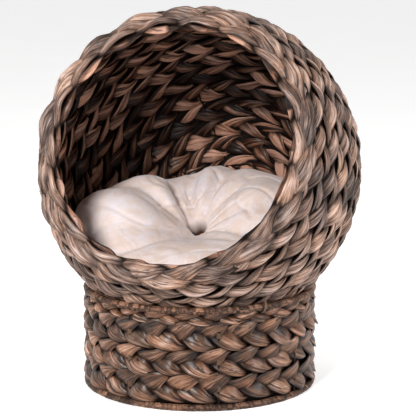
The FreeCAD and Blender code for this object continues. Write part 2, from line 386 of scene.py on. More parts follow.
def ribbonTree():
    # one folded leaf of a strand: it runs round the ring and weaves from edge to edge of the braid
    maker, given = geometryTree("leafRibbon", dict(braidInputs, strand="Int", ribbon="Int"))
    grid = maker.node("GeometryNodeMeshGrid", {}, {
        "Size X": 1.0, "Size Y": 1.0, "Vertices X": given["along"] * given["crossings"] + 1.0,
        "Vertices Y": given["around"] + 1.0})
    gridX, gridY = maker.split(maker.node("GeometryNodeInputPosition").outputs[0])[:2]
    travel = gridX + 0.5
    section = (gridY + 0.5) * math.tau
    weave = travel * given["crossings"] * math.tau + math.pi * leafShape["start"]
    turn = (travel + given["strand"] / given["crossings"] / 3.0) * math.tau
    ringX = turn.sine() * given["ringRadius"]
    ringY = turn.cosine() * given["ringRadius"]
    strandShift = given["seed"] * 7.3 + given["strand"] * 3.1
    ribbonShift = strandShift + given["ribbon"] * 17.7

    def wander(lengthwise, crosswise, shift):
        made = maker.node("ShaderNodeTexNoise", {"noise_dimensions": "4D"}, {
            "Vector": maker.vector(ringX * lengthwise, ringY * lengthwise, section.cosine() * crosswise + shift),
            "W": section.sine() * crosswise, "Scale": 1.0, "Detail": 1.0})
        return maker.value(made.outputs[0]) - 0.5

    swell = wander(18.0, 0.0, strandShift)
    slip = wander(24.0, 0.0, ribbonShift)
    drift = wander(30.0, 0.0, ribbonShift + 40.0)
    folds = wander(24.0, 1.5, ribbonShift + 80.0)
    ridges = wander(22.0, 4.2, ribbonShift + 120.0)
    side = given["ribbon"] - 1.0
    narrow = 1.0 - weave.sine().absolute().power(leafShape["tipLength"]) * given["point"]
    strandWidth = given["leafWidth"] * (swell * leafShape["swell"] + 1.0) * narrow
    middleLeaf = 1.0 - side.absolute()
    width = strandWidth * (1.0 - given["layering"] + folds * leafShape["foldWidth"])
    thick = given["leafThickness"] * (leafShape["thinFold"] + middleLeaf * leafShape["middleFold"])
    thick = thick * (1.0 + drift * 0.5 + folds * 1.1 + ridges * 0.9)
    acrossLeaf = section.cosine() * width + strandWidth * (side * given["layering"] + slip * leafShape["slip"])
    lens = section.sine() * (section.sine().absolute() * 0.45 + 0.55)
    throughLeaf = lens * thick + given["leafThickness"] * drift * 0.9
    throughLeaf = throughLeaf + section.cosine() * given["leafThickness"] * leafShape["cup"]
    roll = weave.cosine() * leafShape["roll"] + swell * 0.8
    swing = (weave.sine() * leafShape["swing"]).maths("ARCSINE") / leafShape["swingReach"]
    lateral = given["spread"] * swing * (swell * 0.4 + 1.0)
    lateral = lateral + acrossLeaf * roll.cosine() - throughLeaf * roll.sine()
    normal = given["rise"] * (weave * 2.0).sine() * (drift * 0.3 + 1.0)
    normal = normal + acrossLeaf * roll.sine() + throughLeaf * roll.cosine()
    slope = given["spread"] * given["crossings"] * weave.cosine() * leafShape["shear"] / given["ringRadius"]
    place = turn - slope * acrossLeaf / given["ringRadius"]
    radius = given["ringRadius"] + lateral * given["facing"].cosine() + normal * given["facing"].sine()
    height = given["ringHeight"] - lateral * given["facing"].sine() + normal * given["facing"].cosine()
    position = maker.vector(place.sine() * radius, place.cosine() * radius * -1.0, height)

    outerSide = section.sine().above(0.0)
    segment = (travel * given["crossings"] * 2.0 + (1.0 - outerSide) * 0.5).floor() + outerSide * 50.0
    segment = segment + given["strand"] * 200.0
    strandTone = maker.node("FunctionNodeRandomValue", {"data_type": "FLOAT"}, {
        "ID": segment, "Seed": given["seed"]})
    leafTone = maker.node("FunctionNodeRandomValue", {"data_type": "FLOAT"}, {
        "ID": segment + given["ribbon"] * 1000.0 + 1000.0, "Seed": given["seed"]})
    tone = maker.value(strandTone.outputs[1]) * 0.55 + maker.value(leafTone.outputs[1]) * 0.45
    depth = normal / (given["rise"] + given["leafThickness"])
    leafMap = maker.vector(travel * given["ringRadius"] * math.tau, gridY + 0.5 + given["ribbon"] * 3.0, 0.0)
    stored = grid
    for name, kind, domain, value in (
            ("leafMap", "FLOAT2", "CORNER", leafMap), ("leafTone", "FLOAT", "POINT", tone),
            ("leafRise", "FLOAT", "POINT", depth), ("leafEdge", "FLOAT", "POINT", section.cosine().absolute())):
        stored = maker.node("GeometryNodeStoreNamedAttribute", {"data_type": kind, "domain": domain}, {
            "Geometry": stored.outputs[0], "Name": name, "Value": value})
    shaped = maker.node("GeometryNodeSetPosition", {}, {"Geometry": stored.outputs[0], "Position": position})
    closed = maker.node("GeometryNodeMergeByDistance", {}, {"Geometry": shaped.outputs[0], "Distance": 0.00001})
    smooth = maker.node("GeometryNodeSetShadeSmooth", {}, {"Geometry": closed.outputs[0]})
    maker.node("NodeGroupOutput", {}, {"Geometry": smooth.outputs[0]})
    return maker.tree


def coreTree():
    # a flat band in the middle of a row, the leaf ends that are tucked away inside the braid; with no leafRise
    # its material paints it near-black all over, as painted shade
    maker, given = geometryTree("leafCore", braidInputs)
    grid = maker.node("GeometryNodeMeshGrid", {}, {
        "Size X": 1.0, "Size Y": 1.0, "Vertices X": given["crossings"] * 12.0 + 1.0, "Vertices Y": 9})
    gridX, gridY = maker.split(maker.node("GeometryNodeInputPosition").outputs[0])[:2]
    section = (gridY + 0.5) * math.tau
    turn = (gridX + 0.5) * math.tau
    lateral = section.cosine() * (given["spread"] + given["leafWidth"] * given["core"])
    normal = section.sine() * given["leafThickness"] * 0.25
    radius = given["ringRadius"] + lateral * given["facing"].cosine() + normal * given["facing"].sine()
    height = given["ringHeight"] - lateral * given["facing"].sine() + normal * given["facing"].cosine()
    position = maker.vector(turn.sine() * radius, turn.cosine() * radius * -1.0, height)
    coreMap = maker.vector(gridX * given["ringRadius"] * math.tau, gridY, 0.0)
    stored = maker.node("GeometryNodeStoreNamedAttribute", {"data_type": "FLOAT2", "domain": "CORNER"}, {
        "Geometry": grid.outputs[0], "Name": "leafMap", "Value": coreMap})
    shaped = maker.node("GeometryNodeSetPosition", {}, {"Geometry": stored.outputs[0], "Position": position})
    closed = maker.node("GeometryNodeMergeByDistance", {}, {"Geometry": shaped.outputs[0], "Distance": 0.00001})
    maker.node("NodeGroupOutput", {}, {"Geometry": closed.outputs[0]})
    return maker.tree


def braidTree(ribbon, core):
    maker, given = geometryTree("leafBraid", dict(braidInputs, tilt="Float", centre="Float", material="Material"))
    joined = maker.node("GeometryNodeJoinGeometry")
    for number in range(10):
        sockets = {name: given[name] for name in braidInputs}
        if number < 9:
            sockets.update(strand=number // 3, ribbon=number % 3)
        one = maker.node("GeometryNodeGroup", {"node_tree": ribbon if number < 9 else core}, sockets)
        maker.tree.links.new(one.outputs[0], joined.inputs[0])
    turned = maker.node("GeometryNodeTransform", {}, {
        "Geometry": joined.outputs[0], "Rotation": maker.vector(given["tilt"], 0.0, 0.0),
        "Translation": maker.vector(0.0, 0.0, given["centre"])})
    finishTree(maker, turned.outputs[0], given["material"])
    return maker.tree


braid = braidTree(ribbonTree(), coreTree())

ballBraid = {
    "spread": 0.0124,
    "rise": 0.0042,
    "leafWidth": 0.0098,
    "leafThickness": 0.0034,
    "point": 0.62,  # how much narrower a leaf gets at its tips
    "layering": 0.50,  # how far its three folds stand apart
    "core": 0.62,  # how far the dark middle reaches under the leaves
    "period": 0.132,  # one strand from edge to edge and back
    "along": 26,
    "around": 12,
}


def braidRow(name, node, look, radius, height, facing, crossings, seed, material, tilt=0.0, centre=0.0):
    row = meshFromTree(name, braid, {
        "ringRadius": radius, "ringHeight": height, "facing": facing, "spread": look["spread"],
        "rise": look["rise"], "leafWidth": look["leafWidth"], "leafThickness": look["leafThickness"],
        "point": look["point"], "layering": look["layering"], "core": look["core"],
        "crossings": crossings, "along": look["along"], "around": look["around"], "seed": seed,
        "tilt": tilt, "centre": centre, "material": material})
    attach(row, "basket")
    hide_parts(node)
    return row


def ballRow(name, node, angle, facing, seed, look):
    radius = ball["middle"] * math.sin(angle)
    crossings = max(2, round(math.tau * radius / look["period"]))
    return braidRow(name, node, look, radius, ball["middle"] * math.cos(angle), facing, crossings, seed,
                    ballLeaf, ballTilt, ball["centre"])


lipLook = dict(ballBraid, spread=0.0086, leafWidth=0.0132, leafThickness=0.0036, point=0.42, core=0.15,
               period=0.190, along=36)
ballRow("lipBraid", "ball_lip_braid", ball["lipAngle"], ball["lipFaces"], 50.0, lipLook)
for number in range(ball["rows"]):
    angle = ball["firstRow"] + ball["rowAngle"] * (number + 0.5)
    ballRow("ballBraid%02d" % (number + 1), "ball_braid_%02d" % (number + 1), angle, angle, float(number),
            ballBraid)
print("ball braided")

standBraid = {
    "spread": 0.0150,
    "rise": 0.0044,
    "leafWidth": 0.0136,
    "leafThickness": 0.0034,
    "point": 0.56,
    "layering": 0.34,
    "core": 0.55,
    "crossings": 8,
    "along": 34,
    "around": 12,
    "inset": 0.0071,  # from the outside of the row in to its middle
    "topSpread": 0.0062,  # the narrow row squeezed under the rim
    "topLeafWidth": 0.0074,
    "seed": 70.0,
}

for number, node in enumerate(["stand_braid_1", "stand_braid_2", "stand_braid_3", "stand_top_braid"]):
    outer, middle = ringOf(node)
    look = dict(standBraid)
    if node == "stand_top_braid":
        look["spread"] = look["topSpread"]
        look["leafWidth"] = look["topLeafWidth"]
    braidRow("standBraid%d" % (number + 1), node, look, outer - look["inset"], middle, math.pi / 2,
             look["crossings"], look["seed"] + number, standLeaf)
print("stand braided")


def wrapTree():
    maker, given = geometryTree("hoopWrap", {
        "ringRadius": "Float", "ringHeight": "Float", "tubeRadius": "Float", "turns": "Int", "groove": "Float",
        "uneven": "Float", "along": "Int", "around": "Int", "floor": "Float", "seed": "Int",
        "material": "Material"})
    grid = maker.node("GeometryNodeMeshGrid", {}, {
        "Size X": 1.0, "Size Y": 1.0, "Vertices X": given["along"] * given["turns"] + 1.0,
        "Vertices Y": given["around"] + 1.0})
    gridX, gridY = maker.split(maker.node("GeometryNodeInputPosition").outputs[0])[:2]
    section = (gridY + 0.5) * math.tau
    turn = (gridX + 0.5) * math.tau
    uneven = noiseOn(maker, maker.vector(turn.sine() * 14.0, turn.cosine() * 14.0, 0.0), 1.0, 1.0)
    winding = (gridX + 0.5) * given["turns"] + gridY + 0.5 + uneven * given["uneven"]
    number = winding.floor().maths("FLOORED_MODULO", given["turns"])
    across = winding.maths("FRACT")
    chance = maker.value(maker.node("FunctionNodeRandomValue", {"data_type": "FLOAT"}, {
        "ID": number, "Seed": given["seed"]}).outputs[1])
    crown = (across * math.pi).sine().absolute().power(0.35)
    tube = given["tubeRadius"] - given["groove"] * (1.0 - crown) - chance * given["groove"] * 0.55
    radius = given["ringRadius"] + section.cosine() * tube
    height = (given["ringHeight"] + section.sine() * tube).maths("MAXIMUM", given["floor"])
    position = maker.vector(turn.sine() * radius, turn.cosine() * radius * -1.0, height)
    stripMap = maker.vector(gridY + 0.5, across, 0.0)
    stored = grid
    # leafRise carries the crown of each turn, so the strip material paints shade into the grooves between turns
    for name, kind, domain, value in (
            ("leafMap", "FLOAT2", "CORNER", stripMap), ("leafTone", "FLOAT", "POINT", chance),
            ("leafRise", "FLOAT", "POINT", crown)):
        stored = maker.node("GeometryNodeStoreNamedAttribute", {"data_type": kind, "domain": domain}, {
            "Geometry": stored.outputs[0], "Name": name, "Value": value})
    shaped = maker.node("GeometryNodeSetPosition", {}, {"Geometry": stored.outputs[0], "Position": position})
    closed = maker.node("GeometryNodeMergeByDistance", {}, {"Geometry": shaped.outputs[0], "Distance": 0.00001})
    smooth = maker.node("GeometryNodeSetShadeSmooth", {}, {"Geometry": closed.outputs[0]})
    finishTree(maker, smooth.outputs[0], given["material"])
    return maker.tree


rimWrap = {
    "tubeRadius": 0.0049,
    "inset": 0.0047,  # from the outside of the rim in to its middle
    "turns": 124,
    "uneven": 5.0,  # how much the strip's width wanders
    "groove": 0.0008,
    "along": 11,
    "around": 20,
}

wrap = wrapTree()
for number, node in enumerate(["stand_bottom_wrap", "stand_top_wrap"]):
    piece = meshFromTree(node.replace("stand_", "stand").replace("_wrap", "Wrap"), wrap, {
        "ringRadius": ringOf(node)[0] - rimWrap["inset"], "ringHeight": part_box(node)[1][2] - rimWrap["inset"],
        "tubeRadius": rimWrap["tubeRadius"], "turns": rimWrap["turns"], "groove": rimWrap["groove"],
        "uneven": rimWrap["uneven"], "along": rimWrap["along"], "around": rimWrap["around"], "floor": 0.0,
        "seed": 5 + number, "material": stripLeaf})
    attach(piece, "basket")
    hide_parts(node)
print("rims wrapped")


backDisc = {
    "rings": [  # radius, spread, leaf width and rise
        ("backCoilOuter", 0.0272, 0.0118, 0.0090, 0.0042), ("backCoilMiddle", 0.0082, 0.0058, 0.0068, 0.0034)],
    "crossings": 2,
    "along": 40,
}

for name, radius, spread, leafWidth, rise in backDisc["rings"]:
    angle = math.pi - math.asin(radius / ball["middle"])
    look = dict(ballBraid, spread=spread, leafWidth=leafWidth, rise=rise, along=backDisc["along"])
    braidRow(name, "ball_back_coil", look, radius, ball["middle"] * math.cos(angle), angle, backDisc["crossings"],
             90.0 + radius * 100.0, ballLeaf, ballTilt, ball["centre"])
print("back closed")


def wireMaterial():
    material, maker, shader = newMaterial("blackWire")
    place = maker.node("ShaderNodeTexCoord").outputs["Object"]
    mottle = noiseOn(maker, place, 260.0, 3.0)
    colours = maker.node("ShaderNodeValToRGB", {"stops": [
        (0.3, rgb(16, 11, 9)), (0.7, rgb(34, 25, 20))]}, {"Fac": mottle})
    maker.tree.links.new(colours.outputs["Color"], shader.inputs["Base Color"])
    rough = 0.50 + mottle * 0.3
    maker.tree.links.new(rough.socket, shader.inputs["Roughness"])
    shader.inputs["Specular IOR Level"].default_value = 0.12
    bump = maker.node("ShaderNodeBump", {}, {"Strength": 0.3, "Distance": 0.0003, "Height": mottle})
    maker.tree.links.new(bump.outputs[0], shader.inputs["Normal"])
    return material


def twineMaterial():
    material, maker, shader = newMaterial("darkTwine")
    place = maker.node("ShaderNodeTexCoord").outputs["Object"]
    fuzz = noiseOn(maker, place, 700.0, 4.0, 0.7)
    wear = noiseOn(maker, place, 60.0, 2.0)
    shade = (fuzz * 0.7 + wear * 0.5 - 0.1).clamped()
    colours = maker.node("ShaderNodeValToRGB", {"stops": [
        (0.2, rgb(38, 26, 19)), (0.8, rgb(112, 86, 66))]}, {"Fac": shade})
    maker.tree.links.new(colours.outputs["Color"], shader.inputs["Base Color"])
    rough = 0.95 - fuzz * 0.2
    maker.tree.links.new(rough.socket, shader.inputs["Roughness"])
    bump = maker.node("ShaderNodeBump", {}, {"Strength": 0.6, "Distance": 0.0005, "Height": fuzz})
    maker.tree.links.new(bump.outputs[0], shader.inputs["Normal"])
    return material


blackWire = wireMaterial()
darkTwine = twineMaterial()
for node, material in (
        ("stand_bottom_hoop", blackWire), ("stand_top_hoop", blackWire), ("stand_uprights", blackWire),
        ("ball_mouth_hoop", blackWire), ("ball_back_hoop", blackWire), ("ball_ribs", blackWire),
        ("ball_to_stand_lashings", darkTwine)):
    for holder in bpy.data.objects[node].material_slots:
        holder.material = material


def tieTree():
    # a few turns of twine on each upright, at the middle of each row
    maker, given = geometryTree("twineTies", {
        "ringRadius": "Float", "posts": "Int", "firstPost": "Float", "turns": "Float", "coilRadius": "Float",
        "coilHeight": "Float", "twine": "Float", "lowest": "Float", "step": "Float", "rows": "Int",
        "material": "Material"})
    spiral = maker.node("GeometryNodeCurveSpiral", {}, {
        "Resolution": 14, "Rotations": given["turns"], "Start Radius": given["coilRadius"],
        "End Radius": given["coilRadius"], "Height": given["coilHeight"]})
    section = maker.node("GeometryNodeCurvePrimitiveCircle", {}, {"Resolution": 6, "Radius": given["twine"]})
    coil = maker.node("GeometryNodeCurveToMesh", {}, {
        "Curve": spiral.outputs[0], "Profile Curve": section.outputs[0], "Fill Caps": True})
    ring = maker.node("GeometryNodeMeshCircle", {}, {"Vertices": given["posts"], "Radius": given["ringRadius"]})
    turned = maker.node("GeometryNodeTransform", {}, {
        "Geometry": ring.outputs[0], "Rotation": maker.vector(0.0, 0.0, given["firstPost"]),
        "Translation": maker.vector(0.0, 0.0, given["lowest"])})
    line = maker.node("GeometryNodeMeshLine", {}, {
        "Count": given["rows"], "Offset": maker.vector(0.0, 0.0, given["step"])})
    levels = maker.node("GeometryNodeInstanceOnPoints", {}, {
        "Points": line.outputs[0], "Instance": turned.outputs[0]})
    plain = maker.node("GeometryNodeRealizeInstances", {}, {"Geometry": levels.outputs[0]})
    angle = maker.node("FunctionNodeRandomValue", {"data_type": "FLOAT"}, {"Seed": 3})
    spin = maker.vector(0.0, 0.0, maker.value(angle.outputs[1]) * math.tau)
    ties = maker.node("GeometryNodeInstanceOnPoints", {}, {
        "Points": plain.outputs[0], "Instance": coil.outputs[0], "Rotation": spin})
    finishTree(maker, ties.outputs[0], given["material"])
    return maker.tree


twineTie = {
    "turns": 5.0,
    "coilRadius": 0.0026,
    "height": 0.0070,
    "twine": 0.0008,
    "posts": 8,
    "firstPost": math.radians(-108.5),
    "postRing": 0.1565,
}

rowMiddles = [ringOf("stand_braid_%d" % number)[1] for number in (1, 2, 3)]
ties = meshFromTree("twineTies", tieTree(), {
    "ringRadius": twineTie["postRing"], "posts": twineTie["posts"], "firstPost": twineTie["firstPost"],
    "turns": twineTie["turns"], "coilRadius": twineTie["coilRadius"], "coilHeight": twineTie["height"],
    "twine": twineTie["twine"], "lowest": rowMiddles[0] - twineTie["height"] / 2,
    "step": rowMiddles[1] - rowMiddles[0], "rows": len(rowMiddles), "material": darkTwine})
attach(ties, "basket")
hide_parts("stand_ties")
print("wires and twine done")


def fibreTree():
    # short loose ends of leaf that stand off the outside of the ball
    maker, given = geometryTree("looseFibres", {
        "radius": "Float", "density": "Float", "length": "Float", "shortest": "Float", "longest": "Float",
        "thickness": "Float", "mouthEdge": "Float", "tilt": "Float", "centre": "Float", "seed": "Int",
        "material": "Material"})
    ballFaces = maker.node("GeometryNodeMeshIcoSphere", {}, {"Radius": given["radius"], "Subdivisions": 4})
    spread = maker.node("GeometryNodeDistributePointsOnFaces", {}, {
        "Mesh": ballFaces.outputs[0], "Density": given["density"], "Seed": given["seed"]})
    height = maker.split(maker.node("GeometryNodeInputPosition").outputs[0])[2]
    kept = maker.node("GeometryNodeDeleteGeometry", {"domain": "POINT"}, {
        "Geometry": spread.outputs["Points"], "Selection": height.above(given["mouthEdge"])})
    path = maker.node("GeometryNodeCurveQuadraticBezier", {}, {
        "Resolution": 5, "Start": (0.0, 0.0, 0.0),
        "Middle": maker.vector(given["length"] * 0.5, 0.0, given["length"] * 0.05),
        "End": maker.vector(given["length"], given["length"] * 0.15, given["length"] * 0.36)})
    section = maker.node("GeometryNodeCurvePrimitiveCircle", {}, {"Resolution": 3, "Radius": given["thickness"]})
    fibre = maker.node("GeometryNodeCurveToMesh", {}, {
        "Curve": path.outputs[0], "Profile Curve": section.outputs[0], "Fill Caps": True})
    chance = maker.node("FunctionNodeRandomValue", {"data_type": "FLOAT"}, {"Seed": given["seed"]})
    spin = maker.node("FunctionNodeEulerToRotation", {}, {
        "Euler": maker.vector(0.0, 0.0, maker.value(chance.outputs[1]) * math.tau * 3.0)})
    turned = maker.node("FunctionNodeRotateRotation", {"rotation_space": "LOCAL"}, {
        "Rotation": spread.outputs["Rotation"], "Rotate By": spin.outputs[0]})
    size = maker.node("FunctionNodeRandomValue", {"data_type": "FLOAT"}, {
        2: given["shortest"], 3: given["longest"], "Seed": given["seed"] + 3.0})
    fibres = maker.node("GeometryNodeInstanceOnPoints", {}, {
        "Points": kept.outputs[0], "Instance": fibre.outputs[0], "Rotation": turned.outputs[0],
        "Scale": size.outputs[1]})
    placed = maker.node("GeometryNodeTransform", {}, {
        "Geometry": fibres.outputs[0], "Rotation": maker.vector(given["tilt"], 0.0, 0.0),
        "Translation": maker.vector(0.0, 0.0, given["centre"])})
    finishTree(maker, placed.outputs[0], given["material"])
    return maker.tree


looseFibre = {
    "below": 0.0045,  # how deep the fibres start under the crowns of the braids
    "density": 620.0,
    "length": 0.011,
    "shortest": 0.4,  # shares of the length
    "longest": 1.2,
    "thickness": 0.00028,
    "seed": 21,
}

fibres = meshFromTree("looseFibres", fibreTree(), {
    "radius": ballRadius - looseFibre["below"], "density": looseFibre["density"], "length": looseFibre["length"],
    "shortest": looseFibre["shortest"], "longest": looseFibre["longest"], "thickness": looseFibre["thickness"],
    "mouthEdge": ballRadius * math.cos(ball["firstRow"]), "tilt": ballTilt, "centre": ball["centre"],
    "seed": looseFibre["seed"], "material": darkTwine})
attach(fibres, "basket")
print("loose fibres added")


cushionLook = {
    "radius": 0.1620,
    "tilt": math.radians(17.0),
    "crest": -0.062,  # from the middle of the ball, along the cushion's own axis
    "edge": -0.112,
    "edgeLift": 0.043,  # where the edge is pushed up by the wall and the lip
    "underside": -0.176,
    "tuft": (-0.0094, 0.0210),  # sideways, and towards the mouth
    "pit": -0.096,
    "crestAt": 0.62,  # share of the way from the tuft to the edge
    "bulge": 0.030,  # of the left lobe, against the ball's wall
    "bulgeAt": 268.0,
    "frontBulge": 0.026,
    "wall": 0.1975,
    "around": 144,
    "rings": 24,
    "voxel": 0.0045,
    "frames": 20,
    "travel": 0.022,
}
plushCloth = {
    "quality": 5, "mass": 0.25, "tension_stiffness": 12.0, "compression_stiffness": 12.0, "shear_stiffness": 6.0,
    "bending_stiffness": 0.4, "use_pressure": True, "uniform_pressure_force": 4.0}
valleys = [  # turn about the tuft from the mouth side towards +X, depth and half-width
    (75.0, 0.012, 11.0), (112.0, 0.007, 8.0), (147.0, 0.009, 7.0), (172.0, 0.008, 5.0), (199.0, 0.013, 5.0),
    (214.0, 0.015, 5.5), (244.0, 0.013, 7.0), (334.0, 0.009, 10.0)]
lobes = [  # turn about the tuft, height and half-width
    (274.0, 0.028, 32.0), (232.0, 0.014, 18.0), (184.0, 0.014, 14.0), (152.0, 0.019, 18.0), (120.0, 0.020, 20.0),
    (10.0, -0.008, 50.0), (320.0, -0.006, 22.0)]
pleats = [  # turn about the tuft, depth and reach of the sharp gathers
    (205.0, 0.0022, 0.12), (199.0, 0.0030, 0.14), (193.0, 0.0016, 0.10), (186.0, 0.0022, 0.12),
    (179.0, 0.0014, 0.08), (171.0, 0.0026, 0.13), (161.0, 0.0018, 0.09), (150.0, 0.0024, 0.12),
    (137.0, 0.0016, 0.08), (122.0, 0.0022, 0.10), (104.0, 0.0018, 0.08), (88.0, 0.0014, 0.06),
    (214.0, 0.0034, 0.13), (228.0, 0.0014, 0.07), (246.0, 0.0022, 0.10), (264.0, 0.0012, 0.05),
    (300.0, 0.0012, 0.05), (330.0, 0.0020, 0.06), (12.0, 0.0012, 0.04), (48.0, 0.0016, 0.05)]
fabric = {
    "gather": 1.5,  # deepens the gathers of the list above
    "gatherWidth": 0.0028,
    "gatherWander": 7.0,
    "crease": 0.0018,
    "creaseWidth": 0.10,
    "swelling": 0.0030,
    "fineSwelling": 0.0008,
    "seam": 0.0028,
    "seamWidth": 0.0035,
    "hole": 0.0155,
    "holeDepth": 0.026,
    "holeForward": 0.007,
}


def turnedBy(first, second):
    return (first - second + 180.0) % 360.0 - 180.0


def leftLobe(turn):
    return math.exp(-(turnedBy(turn, cushionLook["bulgeAt"]) / 42.0) ** 2)


def frontRoll(turn):
    return math.exp(-(turnedBy(turn, 350.0) / 62.0) ** 4)


def edgeReach(turn):
    # from the tuft to the edge of the cushion
    sideways, forward = cushionLook["tuft"]
    bulge = max(cushionLook["bulge"] * leftLobe(turn), cushionLook["frontBulge"] * frontRoll(turn))
    radius = cushionLook["radius"] + bulge
    along = sideways * math.sin(math.radians(turn)) + forward * math.cos(math.radians(turn))
    return math.sqrt(along ** 2 + radius ** 2 - sideways ** 2 - forward ** 2) - along


def aboutTuft(place):
    sideways = place.x - cushionLook["tuft"][0]
    forward = -place.y - cushionLook["tuft"][1]
    turn = math.degrees(math.atan2(sideways, forward))
    reach = math.hypot(sideways, forward)
    return turn, reach, reach / edgeReach(turn)


def valleyDepth(turn, share):
    bend = 6.0 * math.sin(share * 5.0 + turn * 0.05)
    depth = 0.0
    for place, deep, half in valleys:
        spread = half * (0.8 + 0.5 * share)
        depth += deep * math.exp(-(turnedBy(turn + bend * share, place) / spread) ** 2)
    return depth * min(1.0, share * 2.6) * max(0.0, 1.0 - share ** 4)


def lobeHeight(turn, share):
    height = sum(high * math.exp(-(turnedBy(turn, place) / half) ** 2) for place, high, half in lobes)
    return height * math.sin(math.pi * min(1.0, share) ** 1.2)


def edgeHeight(turn):
    return cushionLook["edge"] + cushionLook["edgeLift"] * max(leftLobe(turn), frontRoll(turn))


def cushionTop(turn, share):
    look = cushionLook
    if share < look["crestAt"]:
        rise = math.sin(share / look["crestAt"] * math.pi / 2) ** 0.85
        height = look["pit"] + (look["crest"] - look["pit"]) * rise
    else:
        out = (share - look["crestAt"]) / (1.0 - look["crestAt"])
        low = edgeHeight(turn)
        height = low + (look["crest"] - low) * math.sqrt(max(0.0, 1.0 - out ** 2.4))
    return height + lobeHeight(turn, share) - valleyDepth(turn, share)


def cushionBottom(turn, share):
    low = cushionLook["underside"]
    return low + (edgeHeight(turn) - low) * (1.0 - math.sqrt(max(0.0, 1.0 - share ** 2.6)))


def cushionMesh():
    shape = bmesh.new()
    count, steps = cushionLook["around"], cushionLook["rings"]
    rings = []
    for side in ("top", "bottom"):
        for step in range(steps):
            share = (step + 0.15) / steps if side == "top" else 1.0 - (step + 0.15) / steps
            ring = []
            for number in range(count):
                turn = 360.0 * number / count
                height = cushionTop(turn, share) if side == "top" else cushionBottom(turn, share)
                reach = edgeReach(turn) * share
                ring.append(shape.verts.new((
                    cushionLook["tuft"][0] + reach * math.sin(math.radians(turn)),
                    -cushionLook["tuft"][1] - reach * math.cos(math.radians(turn)), height)))
            rings.append(ring)
    for low, high in zip(rings, rings[1:]):
        for number in range(count):
            after = (number + 1) % count
            shape.faces.new((low[number], high[number], high[after], low[after]))
    shape.faces.new(rings[0])
    shape.faces.new(rings[-1])
    bmesh.ops.recalc_face_normals(shape, faces=shape.faces)
    mesh = bpy.data.meshes.new("cushion")
    shape.to_mesh(mesh)
    shape.free()
    return mesh


def pressIn(vertex):
    # the plush gives way where it meets the ball's wall
    reach = vertex.co.length
    if reach > cushionLook["wall"]:
        vertex.co *= cushionLook["wall"] / reach


def inflate(piece):
    look = cushionLook
    start = [vertex.co.copy() for vertex in piece.data.vertices]
    held = piece.vertex_groups.new(name="held")
    for vertex in piece.data.vertices:
        turn, reach, share = aboutTuft(vertex.co)
        top = vertex.co.z > edgeHeight(turn)
        if (top and share < 0.85 and valleyDepth(turn, max(share, 0.35)) > 0.0075) or reach < 0.018 or (
                vertex.co.z < look["edge"] - 0.02):
            held.add([vertex.index], 1.0, "REPLACE")
    cloth = piece.modifiers.new("cloth", "CLOTH")
    for name, value in plushCloth.items():
        setattr(cloth.settings, name, value)
    cloth.settings.vertex_group_mass = "held"
    cloth.settings.effector_weights.gravity = 0.0
    cloth.point_cache.frame_start = 1
    cloth.point_cache.frame_end = look["frames"]
    for step in range(1, look["frames"] + 1):
        scene.frame_set(step)
    seen = piece.evaluated_get(bpy.context.evaluated_depsgraph_get())
    ends = [vertex.co.copy() for vertex in seen.data.vertices]
    piece.modifiers.clear()
    scene.frame_set(1)
    for vertex, begin, end in zip(piece.data.vertices, start, ends):
        move = end - begin
        if move.length > look["travel"]:
            move *= look["travel"] / move.length
        vertex.co = begin + move
        pressIn(vertex)
    piece.vertex_groups.clear()


def gatherFabric(piece):
    # sharp gathers that run out from the tuft, soft creases, the sewn edge and the hole of the tuft
    mesh = piece.data
    pit = mesh.attributes.new("tuftShade", "FLOAT", "POINT")
    normals = [vertex.normal.copy() for vertex in mesh.vertices]
    for vertex, normal in zip(mesh.vertices, normals):
        place = vertex.co
        turn, reach, share = aboutTuft(place)
        low = edgeHeight(turn)
        top = max(0.0, min(1.0, (place.z - low) / 0.02))
        wander = noise.noise(place * 16.0) * fabric["gatherWander"]
        gather = 0.0
        for line, deep, far in pleats:
            apart = math.radians(abs(turnedBy(turn + wander, line))) * reach
            fade = max(0.0, 1.0 - (reach / far) ** 2) * min(1.0, reach / 0.02)
            gather -= fabric["gather"] * deep * fade * math.exp(-apart / fabric["gatherWidth"])
        crease = abs(noise.noise(Vector((place.x * 17.0, place.y * 17.0, place.z * 17.0 + 4.0))))
        crease = -fabric["crease"] * max(0.0, fabric["creaseWidth"] - crease) / fabric["creaseWidth"]
        swelling = noise.noise(place * 15.0) * fabric["swelling"]
        swelling += noise.noise(place * 42.0) * fabric["fineSwelling"]
        seam = 0.0
        if share > 0.85:
            seam = -fabric["seam"] * math.exp(-((place.z - low - 0.002) / fabric["seamWidth"]) ** 2)
        fromHole = math.hypot((place.x - cushionLook["tuft"][0]) * 1.4,
                              place.y + cushionLook["tuft"][1] - fabric["holeForward"])
        hole = math.exp(-(fromHole / fabric["hole"]) ** 6)
        vertex.co = place + normal * ((gather + crease + swelling) * top + seam)
        if top > 0.0:
            vertex.co.z -= fabric["holeDepth"] * hole
        pressIn(vertex)
        # tuftShade marks the hole, which the plush material paints dark brown
        pit.data[vertex.index].value = hole if top > 0.0 else 0.0


def placeInBall(mesh):
    mesh.transform(Matrix.Translation((0.0, 0.0, ball["centre"])) @ Matrix.Rotation(cushionLook["tilt"], 4, "X"))


